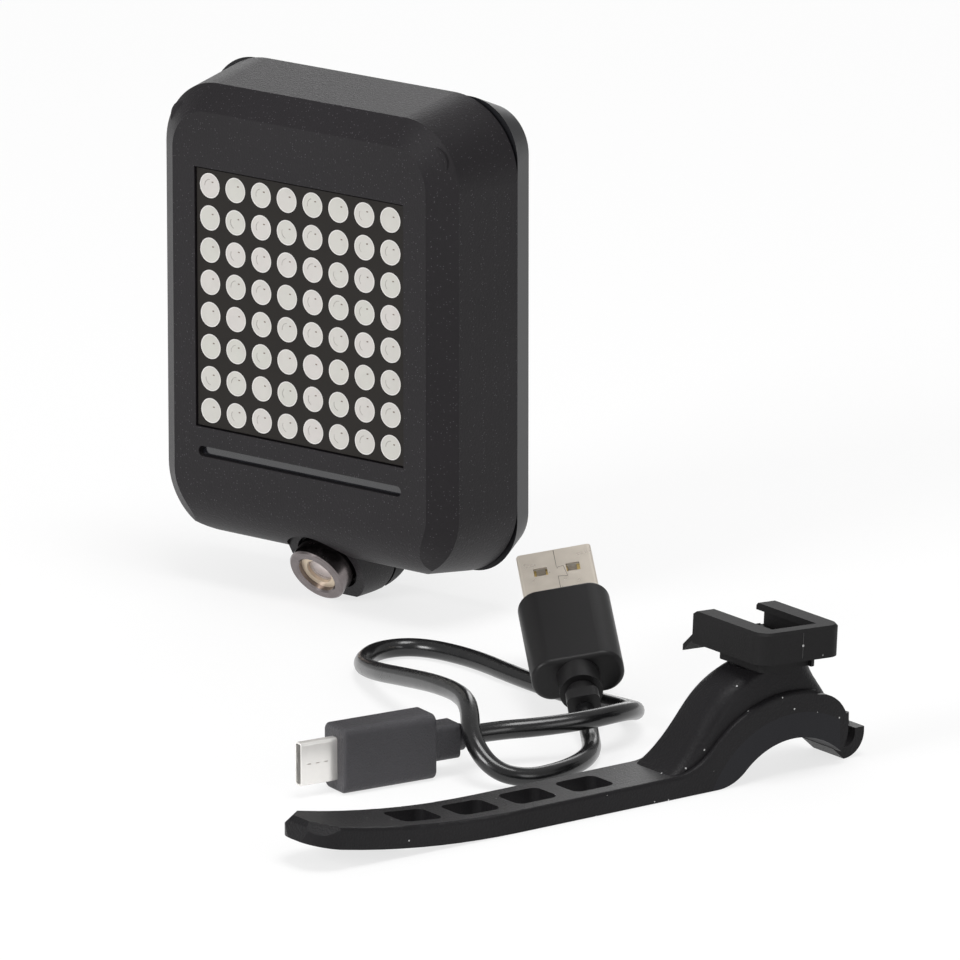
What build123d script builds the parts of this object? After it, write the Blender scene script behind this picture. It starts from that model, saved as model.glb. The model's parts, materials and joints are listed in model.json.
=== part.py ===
from build123d import *
import os
from math import asin, atan, cos, degrees, pi, radians, sin, sqrt, tan

os.makedirs("parts", exist_ok=True)

# All sizes are millimetres. The light stands on the flat under its laser housing, and the
# middle of that flat is the origin: +X is left to right as the face is seen, +Y goes from
# the face to the back and +Z is up.

# LED module, eight by eight dots
dot_count = 8
matrix_side = 42.9
matrix_depth = 9.56
matrix_recess = 0.34
dot_diameter = 4.15
dot_depth = 1.8
dot_recess = 0.05
dot_gap = 0.02
pin_radius = 0.25
pin_length = 2.48
pin_row_height = 19.12
pin_pitch = 2.8
pin_gap = 0.1

# Front shell
case_width = 60.8
case_above = 35.1
case_below = 40.39
case_corner = 10.97
bevel_width = 4.11
bevel_depth = 3.38
joint_depth = 15.97
draft = 8.7
wall = 2.02
face_wall = 2.48
chin_radius = 9.56
window_gap = 0.25
foot_depth = 11.92

# Bar below the LED module
bar_length = 42.3
bar_height = 1.74
bar_drop = 25.74
bar_recess = 1.01
bar_gap = 0.05
bar_flange = 0.9
bar_flange_depth = 1.12

# Rear cover, seal and mounting rail
seal_thickness = 0.5
seal_inset = 0.51
seal_width = 1.35
cover_depth = 5.85
cover_inset = 0.39
cover_corner = 9.6
cover_draft = 22.0
cover_wall = 1.8
lip_depth = 1.8
lip_wall = 1.35
lip_gap = 0.2
rail_length = 11.8
rail_drop = 2.25
rail_width = 11.4
rail_thickness = 2.4
rail_neck_width = 8.0
rail_neck_height = 1.5
rail_corner = 1.0

# Screws and bosses
boss_side = 4.64
boss_up = 28.57
boss_down = 31.5
boss_radius = 2.93
boss_gap = 0.3
boss_meet = 0.1
screw_radius = 1.1
screw_length = 10.12
screw_head_radius = 2.0
screw_head_height = 1.3
screw_gap = 0.2
screw_spare = 0.56
thread_gap = 0.03
counterbore_depth = 1.9
cross_length = 2.4
cross_width = 0.6
cross_depth = 0.7

# Laser module and its housing
laser_below = 1.9
laser_depth = 4.16
laser_tilt = 31.0
tube_radius = 5.17
tube_bore = 3.43
laser_length = 9.0
tube_edge = 0.28
housing_radius = 7.09
housing_middle = 42.3
housing_top = 38.81
housing_setback = 3.38
housing_rear = 19.8
housing_rear_radius = 6.75
bore_gap = 0.5
bore_spare = 0.45
notch_radius = 7.2
notch_reach = 10.12
laser_wall_radius = 9.0
laser_wall_depth = 2.81
fit_gap = 0.03
ring_place = 1.01
ring_thickness = 1.57
lens_radius = 2.31
lens_sag = 0.56
lens_edge = 1.01
diode_place = 2.93
diode_length = 3.82
diode_radius = 3.15
driver_place = 7.2
driver_thickness = 0.9
tube_seal_width = 1.35
tube_seal_place = 4.73

# Circuit board and what it carries
board_gap = 0.2
board_thickness = 1.2
board_side_gap = 4.3
board_half_narrow = 22.28
board_half_middle = 23.18
board_above = 32.62
board_below = 31.05
battery_width = 38.25
battery_height = 33.75
battery_thickness = 5.85
battery_gap = 0.3
battery_corner = 1.35
battery_drop = 1.12
pad_width = 31.5
pad_height = 24.75
chip_height = 1.0
chip_places = [(-9, 25.3, 6, 6), (4.5, 25.3, 5, 4), (13.5, 24.8, 3, 4), (-11, -25.3, 5, 5),
               (3.4, -25.9, 8, 4), (14.6, -25.3, 3, 3)]
led_size = 1.6
led_height = 0.7
led_pitch = 13.5

# Controls in the left wall
control_depth = 8.66
control_sink = 0.45
control_pad = 2.02
control_top = 17.44
control_bottom = 27.0
control_half = 4.61
control_corner = 2.25
control_pad_margin = 0.9
button_height = 9.0
button_length = 11.92
button_width = 5.17
button_gap = 0.2
button_proud = 2.14
button_flange = 1.01
button_flange_margin = 1.01
button_seat_gap = 0.1
button_edge = 0.56
switch_length = 6.75
switch_gap = 0.6
switch_reach = 2.47
switch_depth = 3.6
plunger_width = 1.8
plunger_height = 2.93
plunger_gap = 0.05
plunger_spare = 0.67
plunger_sink = 0.9
port_drop = 11.25
port_length = 7.6
port_thickness = 2.6
port_clear = 2.0
port_wall = 0.3
port_gap = 0.1
port_tongue = 0.6
pocket_length = 11.4
pocket_width = 7.2
pocket_depth = 0.9
pocket_corner = 1.5
flap_length = 14.0
flap_width = 7.6
flap_thickness = 1.1
flap_seat_gap = 0.05
flap_boss_gap = 0.35
flap_boss_height = 0.75
flap_corner = 1.2
hinge_gap = 0.15
anchor_length = 3.6
stud_radius = 1.0
stud_length = 1.6

# Strap mount: a rubber strap with a saddle, lying on its tail and its hook
mount_x = 114.0
mount_y = -37.0
mount_yaw = 75.0
mount_tilt = 3.0
bracket_base = 18.8
strap_width = 11.6
strap_thickness = 3.4
tail_curl_start = 52.0
tail_curl_radius = 170.0
tail_end = 89.5
tip_corner = 4.9
tip_chamfer = 1.3
tip_turn = 52.0
hole_count = 4
hole_pitch = 10.8
hole_length = 7.6
hole_width = 6.2
hole_corner = 1.4
last_hole = 67.6
arch_radius = 13.6
arch_middle = 0.7
arch_top = 5.7
pad_thickness = 4.0
pad_right = 9.8
nose_middle = 5.3
nose_height = 5.8
nose_radius = 6.1
foot_fillet = 8.0
neck_fillet = 11.0
# Height, left end, right end, half width and corner radius of the pedestal, from the foot up
pedestal_rows = [(3.0, -23.4, 10.4, 5.0, 2.2), (4.8, -20.3, 10.5, 4.9, 2.2), (8.9, -16.2, 9.8, 4.9, 2.8),
                 (12.0, -13.8, 8.4, 4.8, 3.2), (14.1, -11.9, 7.2, 4.6, 3.6), (15.6, -9.6, 6.5, 4.4, 3.6)]
pedestal_top_length = 12.4
pedestal_top_width = 8.6
pedestal_top_corner = 3.6
pedestal_gap = 0.1
hook_width = 7.6
hook_thickness = 1.8
hook_radius = 4.0
hook_middle = 12.1
hook_rise = 0.6
hook_root = 9.9
hook_root_top = 4.2
hook_root_low = 2.0
nub_radius = 0.7
nub_height = 1.5
edge_round = 0.6

# Bracket on the saddle
bracket_width = 16.0
bracket_length = 17.4
bracket_height = 5.0
bracket_floor = 1.3
bracket_end_wall = 2.4
bracket_lip = 1.1
bracket_corner = 2.6
bracket_edge = 0.4
rail_side_gap = 0.2
neck_side_gap = 0.3
turret_width = 10.8
turret_length = 11.4
turret_height = 2.0
turret_corner = 1.2
turret_notch_width = 3.0
turret_notch_length = 0.8
pivot_radius = 1.5
pivot_gap = 0.08
pivot_head_radius = 2.4
pivot_head_height = 0.9
pivot_head_gap = 0.1
pivot_length = 6.6
insert_radius = 2.2
insert_length = 4.0
insert_drop = 2.7
latch_root = 3.3
latch_half = 3.0
latch_thickness = 1.0
latch_gap = 0.3
latch_face = 5.8
latch_ramp = 2.2
latch_height = 1.2
tab_half = 7.6
tab_gap = 0.35
tab_reach = 2.4
tab_drop = 2.2
tab_thickness = 1.2

# Charging cable: USB-A plug, cord lying on the floor, micro-USB plug standing on its edge
cord_radius = 1.5
bend_share = 0.45
plug_a_place = (80.7, -40.0, 3.8)
plug_a_yaw = 135.0
plug_a_rise = 18.0
plug_a_roll = -10.0
relief_a_length = 9.0
neck_a_radius = 2.4
cuff_a_side = 5.2
cuff_a_corner = 1.0
cuff_a_length = 2.4
collar_a_radius = 3.4
collar_a_length = 4.4
grip_a_length = 20.5
grip_a_width = 14.7
grip_a_thickness = 7.5
grip_a_corner = 3.4
grip_a_edge = 0.8
shell_a_length = 12.5
shell_a_width = 12.0
shell_a_height = 4.5
shell_a_wall = 0.3
shell_a_corner = 0.6
shell_a_hole = 2.2
shell_a_hole_x = 2.6
shell_a_hole_place = 6.9
insulator_length = 11.6
insulator_width = 10.8
insulator_height = 1.9
contact_a_width = 1.0
contact_a_length = 7.5
contact_a_height = 0.15
contact_a_pitch = 2.5
contact_a_count = 4
micro_place = (77.9, -67.6, 5.2)
micro_yaw = -110.0
relief_b_length = 6.0
neck_b_radius = 2.1
collar_b_width = 5.6
collar_b_thickness = 4.8
collar_b_corner = 1.0
collar_b_length = 4.6
grip_b_length = 16.5
grip_b_width = 10.4
grip_b_thickness = 6.5
grip_b_corner = 1.4
grip_b_edge = 0.5
shell_b_length = 6.4
shell_b_width = 6.85
shell_b_height = 1.8
shell_b_wall = 0.25
shell_b_corner = 0.5
tongue_length = 5.4
tongue_width = 5.2
tongue_height = 0.55
contact_b_width = 0.35
contact_b_length = 4.0
contact_b_height = 0.1
contact_b_pitch = 0.65
contact_b_count = 5
# Points of the cord between its straight ends, which run out of the two plugs
end_run_a = 7.44
end_run_b = 6.2
cord_points = [
    (90.8, -51.0, 1.5),
    (93.3, -56.7, 1.5),
    (94.0, -63.2, 1.5),
    (92.5, -69.4, 1.5),
    (88.5, -72.7, 2.8),
    (83.3, -71.7, 6.6),
    (77.9, -65.2, 9.6),
    (71.5, -60.0, 9.4),
    (62.6, -55.0, 8.2),
    (51.2, -48.7, 5.8),
    (40.4, -42.6, 3.4),
    (31.7, -35.5, 1.5),
    (28.7, -27.6, 1.5),
    (32.6, -21.6, 1.5),
    (43.5, -21.6, 1.5),
    (56.5, -25.9, 1.5),
    (68.3, -28.6, 1.5),
    (76.8, -28.9, 1.5),
    (85.3, -32.3, 2.6),
    (90.1, -40.7, 5.6),
    (89.0, -49.8, 5.8),
    (84.7, -56.5, 5.4),
]

# Places that follow from the sizes above
dot_pitch = matrix_side / dot_count
laser_height = tube_radius * cos(radians(laser_tilt))
laser_drop = housing_middle + laser_below
panel_height = laser_height + laser_drop
case_height = case_above + case_below
case_middle = (case_above - case_below) / 2
boss_x = case_width / 2 - boss_side
board_half_width = case_width / 2 - board_side_gap
control_floor = case_width / 2 - control_sink
control_inner = control_floor - control_pad
switch_inner = matrix_side / 2 + switch_gap
switch_outer = control_inner - switch_reach
draft_slope = tan(radians(draft))
joint_grow = (joint_depth - bevel_depth) * draft_slope
cover_start = joint_depth + seal_thickness
cover_back = cover_start + cover_depth
lip_inset = wall + lip_gap + lip_depth * draft_slope
board_front = matrix_recess + matrix_depth + board_gap
board_back = board_front + board_thickness
screw_seat = cover_back - counterbore_depth
arch_drop = arch_radius - arch_top
foot_reach = sqrt(arch_radius ** 2 - arch_drop ** 2) - arch_middle
saddle_radius = arch_radius + pad_thickness + strap_thickness
neck_reach = sqrt(saddle_radius ** 2 - (arch_drop + strap_thickness) ** 2) - arch_middle
screw_end = screw_seat - screw_length
boss_points = [(boss_x, boss_up), (-boss_x, boss_up), (boss_x, -boss_down), (-boss_x, -boss_down)]
pin_offsets = [(i - (dot_count - 1) / 2) * pin_pitch for i in range(dot_count)]
pin_points = [(x, z) for z in (pin_row_height, -pin_row_height) for x in pin_offsets]


def face_plane(depth):
    """A plane parallel to the face and depth behind it, looking out of the face."""
    return Plane(origin=(0, depth - foot_depth, panel_height), x_dir=(1, 0, 0), z_dir=(0, -1, 0))


def rear_plane(depth):
    """The same plane looking to the back, so what is extruded from it runs backwards."""
    return Plane(origin=(0, depth - foot_depth, panel_height), x_dir=(-1, 0, 0), z_dir=(0, 1, 0))


def side_plane(x):
    """A plane across the light: its own X is depth behind the face, its Y is height."""
    return Plane(origin=(x, -foot_depth, panel_height), x_dir=(0, 1, 0), z_dir=(1, 0, 0))


def laser_plane(place):
    """A plane square to the laser, place behind the ring's face, looking out of the ring."""
    run = cos(radians(laser_tilt))
    rise = sin(radians(laser_tilt))
    centre = (0, laser_depth - foot_depth + place * run, laser_height + place * rise)
    return Plane(origin=centre, x_dir=(1, 0, 0), z_dir=(0, -run, -rise))


def case_outline(grow, corner, mode=Mode.ADD):
    """The case's rounded outline, grown or shrunk all round, in the current sketch."""
    with Locations((0, case_middle)):
        RectangleRounded(case_width + 2 * grow, case_height + 2 * grow, corner, mode=mode)


def case_form(inset, front, back):
    """The shell's form between two depths: bevelled front, drafted walls and rounded chin."""
    front_grow = (front - bevel_depth) * bevel_width / bevel_depth - inset
    back_grow = (back - bevel_depth) * draft_slope - inset
    chin = chin_radius - inset * cos(radians(draft))
    tangent_drop = chin_radius / cos(radians(draft)) - (chin_radius - bevel_depth) * draft_slope
    chin_middle = tangent_drop - case_below
    below = -2 * case_below
    with BuildPart() as form:
        with BuildSketch(face_plane(front)):
            case_outline(front_grow, case_corner + front_grow)
        with BuildSketch(face_plane(bevel_depth)):
            case_outline(-inset, case_corner - inset)
        loft(ruled=True)
        with BuildSketch(rear_plane(bevel_depth)):
            case_outline(-inset, case_corner - inset)
        with BuildSketch(rear_plane(back)):
            case_outline(back_grow, case_corner + back_grow)
        loft(ruled=True)
        with BuildSketch(side_plane(0)):
            with BuildLine():
                arc = CenterArc((chin_radius, chin_middle), chin, 180, 90 - draft)
                Polyline(arc @ 1, ((arc @ 1).X, below), (-chin_radius, below), (-chin_radius, chin_middle),
                         arc @ 0)
            make_face()
        extrude(amount=case_width, both=True, mode=Mode.SUBTRACT)
    return form.part


def laser_wall():
    """The wall behind the notch for the laser, no larger than the case itself."""
    with BuildPart() as form:
        add(case_form(0, 0, joint_depth))
        with BuildSketch(laser_plane(housing_setback)):
            Circle(laser_wall_radius)
        extrude(amount=-laser_wall_depth, mode=Mode.INTERSECT)
    return form.part


def strap_plane(side):
    """An upright plane along the strap, side nearer than its middle: X along it, Y up."""
    across = (sin(radians(mount_yaw)), -cos(radians(mount_yaw)), 0)
    along = (cos(radians(mount_yaw)), sin(radians(mount_yaw)), 0)
    place = (mount_x + side * across[0], mount_y + side * across[1], 0)
    return Plane(origin=place, x_dir=along, z_dir=across)


def strap_floor(height):
    """A level plane with the strap's own X along it."""
    along = (cos(radians(mount_yaw)), sin(radians(mount_yaw)), 0)
    return Plane(origin=(mount_x, mount_y, height), x_dir=along, z_dir=(0, 0, 1))


def bracket_plane(height):
    """A plane square to the swivel: X across the bracket's channel and Y out of its open end."""
    lean = sin(radians(mount_tilt))
    stand = cos(radians(mount_tilt))
    turn_cos = cos(radians(mount_yaw))
    turn_sin = sin(radians(mount_yaw))
    centre = (mount_x + height * lean * turn_cos, mount_y + height * lean * turn_sin,
              bracket_base + height * stand)
    axis = (lean * turn_cos, lean * turn_sin, stand)
    return Plane(origin=centre, x_dir=(stand * turn_cos, stand * turn_sin, -lean), z_dir=axis)


def bracket_side(side):
    """A plane along the bracket's channel, side across it: X is the swivel's axis, Y the channel."""
    flat = bracket_plane(0)
    origin = flat.origin + flat.x_dir * side
    return Plane(origin=origin, x_dir=flat.z_dir, z_dir=-flat.x_dir)


def tip_bevel(turn):
    """A plane at 45 degrees over the rim of the tail's tip, turned round the tip from its middle."""
    reach = (tip_corner - tip_chamfer) * cos(radians(turn))
    along = tail_end - tip_corner + reach
    aside = (strap_width / 2 - tip_chamfer) * sin(radians(turn))
    top = tail_curl_radius - sqrt((tail_curl_radius - strap_thickness) ** 2 - (along - tail_curl_start) ** 2)
    flat = strap_plane(aside)
    outward = flat.z_dir * sin(radians(turn)) - flat.x_dir * cos(radians(turn)) + flat.y_dir
    return Plane(origin=flat.origin - flat.x_dir * along + flat.y_dir * top, z_dir=outward)


def saddle_outline():
    """The strap and saddle seen from the side."""
    tip_angle = degrees(asin((tail_end - tail_curl_start) / tail_curl_radius))
    curl_middle = (-tail_curl_start, tail_curl_radius)
    arch_centre = (arch_middle, -arch_drop)
    with BuildSketch() as outline:
        with BuildLine():
            under = CenterArc(curl_middle, tail_curl_radius, -90, -tip_angle)
            over = CenterArc(curl_middle, tail_curl_radius - strap_thickness, -90, -tip_angle)
            Line(under @ 1, over @ 1)
            Polyline(over @ 0, (arch_middle, strap_thickness), (arch_middle, 0), under @ 0)
        make_face()
        with Locations(arch_centre):
            Circle(saddle_radius)
        with Locations((nose_middle + tail_end, 0)):
            Rectangle(2 * tail_end, 2 * tail_end, mode=Mode.SUBTRACT)
        with Locations((0, -tail_end)):
            Rectangle(4 * tail_end, 2 * tail_end, mode=Mode.SUBTRACT)
        with Locations((nose_middle, nose_height)):
            Circle(nose_radius)
        with Locations(arch_centre):
            Circle(arch_radius, mode=Mode.SUBTRACT)
        fillet(outline.vertices().sort_by_distance((-neck_reach, strap_thickness))[0], neck_fillet)
        fillet(outline.vertices().sort_by_distance((-foot_reach, 0))[0], foot_fillet)
    return outline.sketch


def housing_form(cut_depth, keep):
    """The laser housing under the case, on one side of a plane across it."""
    rise = housing_middle - housing_top
    with BuildPart() as form:
        with BuildSketch(rear_plane(0)):
            with Locations((0, -housing_middle)):
                Circle(housing_radius)
            with Locations((0, rise / 2 - housing_middle)):
                Rectangle(2 * housing_radius, rise)
        extrude(amount=housing_rear)
        split(bisect_by=Plane.XY, keep=Keep.TOP)
        split(bisect_by=laser_plane(housing_setback), keep=Keep.BOTTOM)
        with BuildSketch(side_plane(0)):
            corner = (housing_rear - housing_rear_radius, housing_rear_radius - panel_height)
            with BuildLine():
                arc = CenterArc(corner, housing_rear_radius, -90, 90)
                outside = (housing_rear + wall, -panel_height - wall)
                Polyline(arc @ 1, (outside[0], corner[1]), outside, (corner[0], outside[1]), arc @ 0)
            make_face()
        extrude(amount=housing_radius + wall, both=True, mode=Mode.SUBTRACT)
        split(bisect_by=rear_plane(cut_depth), keep=keep)
    return form.part


# Front shell: one moulding with the bezel, the side walls and the front of the laser housing
with BuildPart() as front_shell:
    add(case_form(0, 0, joint_depth))
    add(housing_form(joint_depth, Keep.BOTTOM))
    add(case_form(wall, face_wall, joint_depth + wall), mode=Mode.SUBTRACT)
    add(laser_wall())
    with BuildSketch(rear_plane(face_wall)):
        with Locations(*boss_points):
            Circle(boss_radius)
    extrude(amount=joint_depth - face_wall)
    with BuildSketch(laser_plane(housing_setback)):
        Circle(notch_radius)
    extrude(amount=notch_reach, mode=Mode.SUBTRACT)
    with BuildSketch(laser_plane(0)):
        Circle(tube_radius + bore_gap)
    extrude(amount=-laser_length - bore_spare, mode=Mode.SUBTRACT)
    with BuildSketch(face_plane(joint_depth)):
        with Locations(*boss_points):
            Circle(screw_radius + thread_gap)
    extrude(amount=joint_depth - screw_end + screw_spare, mode=Mode.SUBTRACT)
    with BuildSketch(face_plane(face_wall + wall)):
        Rectangle(matrix_side + 2 * window_gap, matrix_side + 2 * window_gap)
        with Locations((0, -bar_drop)):
            SlotOverall(bar_length, bar_height)
    extrude(amount=face_wall + 2 * wall, mode=Mode.SUBTRACT)
    # Thicker wall behind the controls, then the recess, the button hole and the port
    pad_front = control_depth - control_half - control_pad_margin
    pad_back = control_depth + control_half + control_pad_margin
    with BuildSketch(side_plane(-control_inner)):
        with Locations((control_depth, (control_top - control_bottom) / 2)):
            Rectangle(pad_back - pad_front, control_top + control_bottom + 2 * control_pad_margin)
    extrude(amount=-(control_floor - control_inner))
    with BuildSketch(side_plane(-control_floor)):
        with Locations((control_depth, (control_top - control_bottom) / 2)):
            RectangleRounded(2 * control_half, control_top + control_bottom, control_corner)
    extrude(amount=-wall * 2, mode=Mode.SUBTRACT)
    with BuildSketch(side_plane(-control_inner + wall)):
        with Locations((control_depth, button_height)):
            SlotOverall(button_length + 2 * button_gap, button_width + 2 * button_gap, rotation=90)
        with Locations((control_depth, -port_drop)):
            Rectangle(port_thickness + 2 * port_gap, port_length + 2 * port_gap)
    extrude(amount=-wall * 3, mode=Mode.SUBTRACT)
    with BuildSketch(side_plane(-control_floor)):
        with Locations((control_depth, -port_drop)):
            RectangleRounded(pocket_width, pocket_length, pocket_corner)
    extrude(amount=pocket_depth, mode=Mode.SUBTRACT)
    with BuildSketch(side_plane(-control_floor)):
        with Locations((control_depth, -port_drop - flap_length / 2 - hinge_gap - anchor_length / 2)):
            Circle(stud_radius)
    extrude(amount=stud_length, mode=Mode.SUBTRACT)
front_shell.part.label = "front_shell"
export_step(front_shell.part, "parts/front_shell.step")

# Rear cover with its locating lip, bosses, rail and the back of the laser housing
cover_grow = joint_grow - cover_inset
cover_shrink = cover_grow - cover_depth * tan(radians(cover_draft))
with BuildPart() as cover_hollow:
    with BuildSketch(face_plane(cover_start)):
        case_outline(cover_grow - cover_wall, cover_corner - cover_wall / 2)
    with BuildSketch(face_plane(cover_back - cover_wall)):
        case_outline(cover_shrink - cover_wall, cover_corner + cover_shrink - cover_grow - cover_wall / 2)
    loft(ruled=True)
with BuildPart() as rear_cover:
    with BuildSketch(face_plane(cover_start)):
        case_outline(cover_grow, cover_corner)
    with BuildSketch(face_plane(cover_back)):
        case_outline(cover_shrink, cover_corner + cover_shrink - cover_grow)
    loft(ruled=True)
    add(housing_form(cover_start, Keep.TOP))
    add(cover_hollow.part, mode=Mode.SUBTRACT)
    with BuildSketch(face_plane(cover_start)):
        case_outline(joint_grow - lip_inset + lip_gap, case_corner)
        case_outline(joint_grow - lip_inset - lip_wall, case_corner - lip_wall, mode=Mode.SUBTRACT)
    extrude(amount=-cover_wall)
    with BuildSketch(face_plane(cover_start)):
        case_outline(joint_grow - lip_inset, case_corner)
        case_outline(joint_grow - lip_inset - lip_wall, case_corner - lip_wall, mode=Mode.SUBTRACT)
        with Locations(*boss_points):
            Circle(boss_radius + boss_gap, mode=Mode.SUBTRACT)
    extrude(amount=lip_depth)
    with BuildSketch(rear_plane(joint_depth + boss_meet)):
        with Locations(*boss_points):
            Circle(boss_radius)
    extrude(amount=cover_back - cover_wall / 2 - joint_depth)
    with BuildSketch(face_plane(cover_back)):
        with Locations(*boss_points):
            Circle(screw_head_radius + screw_gap)
    extrude(amount=counterbore_depth, mode=Mode.SUBTRACT)
    with BuildSketch(face_plane(cover_back)):
        with Locations(*boss_points):
            Circle(screw_radius + screw_gap)
    extrude(amount=cover_back - joint_depth + seal_thickness, mode=Mode.SUBTRACT)
    with BuildSketch(rear_plane(cover_back)):
        with Locations((0, -rail_drop)):
            Rectangle(rail_neck_width, rail_length)
    extrude(amount=rail_neck_height)
    with BuildSketch(rear_plane(cover_back + rail_neck_height)):
        with Locations((0, -rail_drop)):
            RectangleRounded(rail_width, rail_length, rail_corner)
    extrude(amount=rail_thickness)
rear_cover.part.label = "rear_cover"
export_step(rear_cover.part, "parts/rear_cover.step")

# Seal squeezed between the two mouldings, round the case and the laser housing
with BuildPart() as case_seal:
    with BuildSketch(face_plane(cover_start)):
        case_outline(joint_grow - seal_inset, case_corner + joint_grow - seal_inset)
        case_outline(joint_grow - seal_inset - seal_width, case_corner + joint_grow - seal_inset - seal_width,
                     mode=Mode.SUBTRACT)
    extrude(amount=seal_thickness)
case_seal.part.label = "case_seal"
export_step(case_seal.part, "parts/case_seal.step")

# Four screws through the rear cover into the shell's bosses
with BuildPart() as case_screws:
    with BuildSketch(rear_plane(screw_seat)):
        with Locations(*boss_points):
            Circle(screw_head_radius)
    extrude(amount=screw_head_height)
    with BuildSketch(face_plane(screw_seat)):
        with Locations(*boss_points):
            Circle(screw_radius)
    extrude(amount=screw_length)
    with BuildSketch(face_plane(screw_seat + screw_head_height)):
        with Locations(*boss_points):
            Rectangle(cross_length, cross_width)
            Rectangle(cross_width, cross_length)
    extrude(amount=cross_depth, mode=Mode.SUBTRACT)
case_screws.part.label = "case_screws"
export_step(case_screws.part, "parts/case_screws.step")

# LED module: black body, its sixty-four lit dots and its pins
with BuildPart() as led_matrix_body:
    with BuildSketch(rear_plane(matrix_recess)):
        Rectangle(matrix_side, matrix_side)
    extrude(amount=matrix_depth)
    with BuildSketch(rear_plane(matrix_recess)):
        with GridLocations(dot_pitch, dot_pitch, dot_count, dot_count):
            Circle(dot_diameter / 2 + dot_gap)
    extrude(amount=dot_recess + dot_depth, mode=Mode.SUBTRACT)
led_matrix_body.part.label = "led_matrix_body"
export_step(led_matrix_body.part, "parts/led_matrix_body.step")

with BuildPart() as led_dots:
    with BuildSketch(rear_plane(matrix_recess + dot_recess)):
        with GridLocations(dot_pitch, dot_pitch, dot_count, dot_count):
            Circle(dot_diameter / 2)
    extrude(amount=dot_depth)
led_dots.part.label = "led_dots"
export_step(led_dots.part, "parts/led_dots.step")

with BuildPart() as led_matrix_pins:
    with BuildSketch(rear_plane(matrix_recess + matrix_depth)):
        with Locations(*pin_points):
            Circle(pin_radius)
    extrude(amount=pin_length)
led_matrix_pins.part.label = "led_matrix_pins"
export_step(led_matrix_pins.part, "parts/led_matrix_pins.step")

# Bar below the LED module, with a flange behind the wall
with BuildPart() as indicator_bar:
    with BuildSketch(rear_plane(bar_recess)):
        with Locations((0, -bar_drop)):
            SlotOverall(bar_length - 2 * bar_gap, bar_height - 2 * bar_gap)
    extrude(amount=face_wall - bar_recess)
    with BuildSketch(rear_plane(face_wall)):
        with Locations((0, -bar_drop)):
            RectangleRounded(bar_length + 2 * bar_flange, bar_height + 2 * bar_flange, bar_flange)
    extrude(amount=bar_flange_depth)
indicator_bar.part.label = "indicator_bar"
export_step(indicator_bar.part, "parts/indicator_bar.step")

with BuildPart() as status_leds:
    with BuildSketch(face_plane(board_front)):
        with Locations((-led_pitch, -bar_drop), (0, -bar_drop), (led_pitch, -bar_drop)):
            Rectangle(led_size, led_size)
    extrude(amount=led_height)
status_leds.part.label = "status_leds"
export_step(status_leds.part, "parts/status_leds.step")

# Circuit board, clear of the four bosses, with holes for the module's pins
with BuildPart() as main_board:
    with BuildSketch(rear_plane(board_front)):
        Rectangle(2 * board_half_width, 2 * board_half_middle)
        with Locations((0, (board_above - board_below) / 2)):
            Rectangle(2 * board_half_narrow, board_above + board_below)
        with Locations(*pin_points):
            Circle(pin_radius + pin_gap, mode=Mode.SUBTRACT)
    extrude(amount=board_thickness)
main_board.part.label = "main_board"
export_step(main_board.part, "parts/main_board.step")

with BuildPart() as board_chips:
    for chip_x, chip_z, chip_width, chip_length in chip_places:
        with BuildSketch(rear_plane(board_back)):
            with Locations((chip_x, chip_z)):
                Rectangle(chip_width, chip_length)
        extrude(amount=chip_height)
board_chips.part.label = "board_chips"
export_step(board_chips.part, "parts/board_chips.step")

# Battery behind the board and the pad that holds it
with BuildPart() as battery_cell:
    with BuildSketch(rear_plane(board_back + battery_gap)):
        with Locations((0, -battery_drop)):
            RectangleRounded(battery_width, battery_height, battery_corner)
    extrude(amount=battery_thickness)
battery_cell.part.label = "battery_cell"
export_step(battery_cell.part, "parts/battery_cell.step")

battery_back = board_back + battery_gap + battery_thickness
with BuildPart() as battery_pad:
    with BuildSketch(rear_plane(battery_back)):
        with Locations((0, -battery_drop)):
            Rectangle(pad_width, pad_height)
    extrude(amount=cover_back - cover_wall - battery_back)
battery_pad.part.label = "battery_pad"
export_step(battery_pad.part, "parts/battery_pad.step")

# Power button: a pill through the left wall, its plunger and the switch on the board
flange_outer = control_inner - button_seat_gap
flange_inner = flange_outer - button_flange
plunger_end = switch_outer - plunger_sink
with BuildPart() as power_button:
    with BuildSketch(side_plane(-control_floor - button_proud)):
        with Locations((control_depth, button_height)):
            SlotOverall(button_length, button_width, rotation=90)
    extrude(amount=control_floor + button_proud - flange_outer)
    fillet(power_button.edges().group_by(Axis.X)[0], radius=button_edge)
    with BuildSketch(side_plane(-flange_outer)):
        with Locations((control_depth, button_height)):
            SlotOverall(button_length + 2 * button_flange_margin, button_width + 2 * button_flange_margin,
                        rotation=90)
    extrude(amount=button_flange)
power_button.part.label = "power_button"
export_step(power_button.part, "parts/power_button.step")

with BuildPart() as switch_plunger:
    with BuildSketch(side_plane(-flange_inner)):
        with Locations((control_depth, button_height)):
            Rectangle(plunger_width, plunger_height)
    extrude(amount=flange_inner - plunger_end)
switch_plunger.part.label = "switch_plunger"
export_step(switch_plunger.part, "parts/switch_plunger.step")

with BuildPart() as tact_switch:
    with BuildSketch(side_plane(-switch_outer)):
        with Locations((board_front - switch_depth / 2, button_height)):
            Rectangle(switch_depth, switch_length)
    extrude(amount=switch_outer - switch_inner)
    with BuildSketch(side_plane(-switch_outer)):
        with Locations((control_depth, button_height)):
            Rectangle(plunger_width + 2 * plunger_gap, plunger_height + 2 * plunger_gap)
    extrude(amount=plunger_sink + plunger_spare, mode=Mode.SUBTRACT)
tact_switch.part.label = "tact_switch"
export_step(tact_switch.part, "parts/tact_switch.step")

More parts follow.
